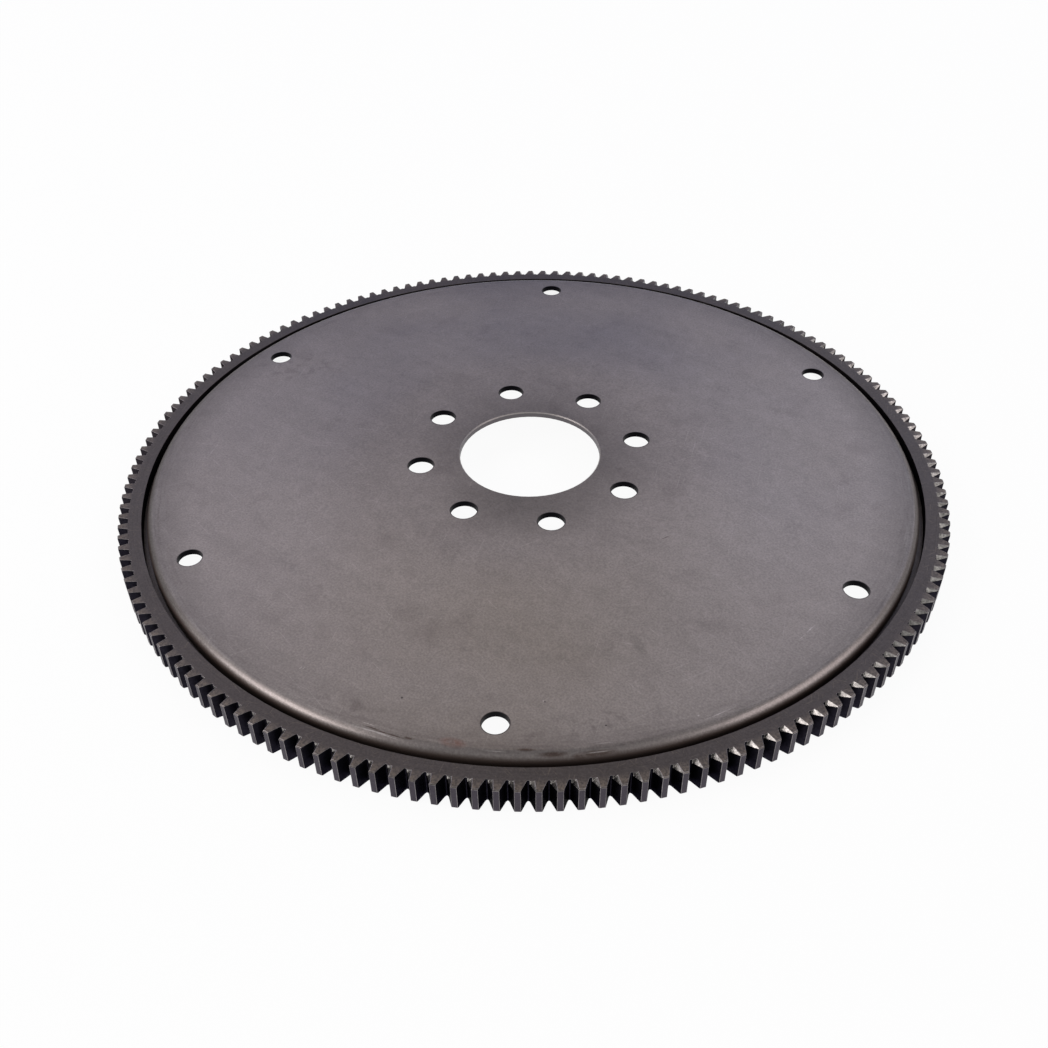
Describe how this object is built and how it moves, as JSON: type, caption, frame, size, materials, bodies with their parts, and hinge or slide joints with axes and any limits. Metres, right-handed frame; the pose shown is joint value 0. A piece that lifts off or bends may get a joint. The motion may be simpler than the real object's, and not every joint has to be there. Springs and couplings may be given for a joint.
{
  "type": "flexplate",
  "caption": "Round pressed steel drive plate with a rolled rim, a centre hole and two bolt circles, carrying a welded starter ring gear that links crankshaft and torque converter.",
  "frame": {"origin": "on the axis, at the height of the ring gear's lower face", "axes": "+Z along the axis, out of the crankshaft side; +X through one crankshaft bolt hole and one converter bolt hole"},
  "size_m": [0.4084, 0.4084, 0.0187],
  "materials": {
    "plate_steel": "matte pressed steel, lightly scratched and smudged",
    "ring_steel": "dark machined steel",
    "weld_metal": "dull weld metal"
  },
  "bodies": {
    "root": {"drive_plate": "plate_steel", "ring_gear": "ring_steel", "weld_stitches": "weld_metal"}
  },
  "joints": []
}
